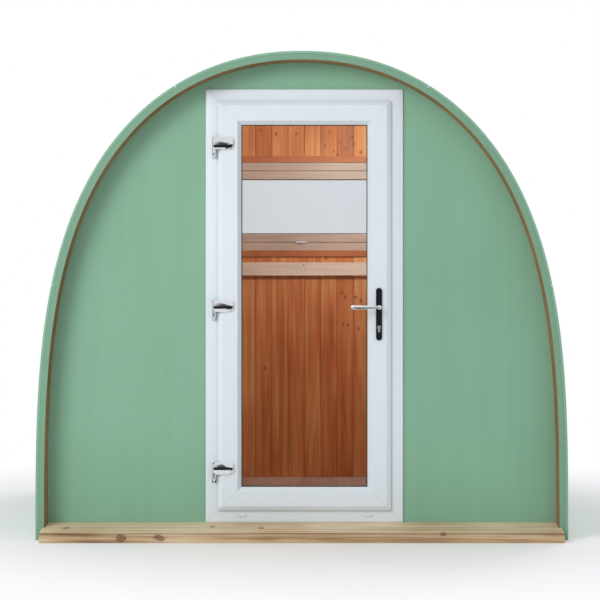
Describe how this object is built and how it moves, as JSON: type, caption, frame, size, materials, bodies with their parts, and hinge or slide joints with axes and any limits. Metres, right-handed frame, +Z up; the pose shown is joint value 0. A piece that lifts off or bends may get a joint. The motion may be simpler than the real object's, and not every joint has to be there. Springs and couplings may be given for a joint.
{
  "type": "garden office pod",
  "caption": "Arched timber garden office pod with a recessed green front wall, a white glazed door on hinges, a pine-lined room and a wide back window.",
  "frame": {"origin": "on the ground, in the middle of the plan", "axes": "+X to the right seen from the front, +Y from the front to the back, +Z up"},
  "size_m": [2.44, 2.3, 2.24],
  "materials": {
    "green_paint": "satin sage green paint on smooth sheet",
    "rim_board": "green painted edge, bare brown inner face",
    "pine_boards": "varnished orange pine boards with knots",
    "pale_timber": "planed pale softwood",
    "treated_timber": "planed pressure-treated softwood",
    "floor_boards": "pale grey boards, satin",
    "white_plastic": "smooth white window plastic",
    "door_glass": "clear sealed glass unit",
    "window_glass": "clear glass against a bright sky",
    "chrome": "polished",
    "satin_steel": "satin nickel",
    "black_metal": "satin black paint"
  },
  "bodies": {
    "pod": {"floor_bearers": "treated_timber", "floor_deck": "floor_boards", "front_sill": "treated_timber", "back_sill": "treated_timber", "left_side_panel": "green_paint", "left_haunch_panel": "green_paint", "crown_panel": "green_paint", "right_haunch_panel": "green_paint", "right_side_panel": "green_paint", "arch_lining": "pine_boards", "front_rim_left": "rim_board", "front_rim_right": "rim_board", "back_rim_left": "rim_board", "back_rim_right": "rim_board", "front_wall_left": "green_paint", "front_wall_right": "green_paint", "front_wall_head": "green_paint", "front_lining": "pine_boards", "back_wall_left": "green_paint", "back_wall_right": "green_paint", "back_wall_below": "green_paint", "back_wall_above": "green_paint", "back_lining": "pine_boards", "window_frame": "pale_timber", "window_sash": "pale_timber", "window_glass": "window_glass", "window_latch": "chrome", "window_trim": "pine_boards", "back_wall_rail": "pale_timber", "door_frame": "white_plastic", "drain_caps": "white_plastic", "upper_hinge_base": "chrome", "middle_hinge_base": "chrome", "lower_hinge_base": "chrome"},
    "door": {"door_leaf": "white_plastic", "door_glass": "door_glass", "glazing_beads": "white_plastic", "upper_hinge_flag": "chrome", "middle_hinge_flag": "chrome", "lower_hinge_flag": "chrome", "handle_backplates": "black_metal", "lock_cylinder": "satin_steel"},
    "handle": {"outer_lever": "chrome", "inner_lever": "chrome"}
  },
  "joints": [
    {"name": "door_swing", "type": "hinge", "parent": "pod", "child": "door", "pos_m": [-0.4065, -0.975, 1.072], "axis": [0, 0, -1], "range_deg": [0, 90]},
    {"name": "handle_turn", "type": "hinge", "parent": "door", "child": "handle", "pos_m": [0.3565, -0.974, 1.065], "axis": [0, -1, 0], "range_deg": [0, 35], "stiffness_Nm_per_rad": 2, "springref_deg": -28.65}
  ]
}
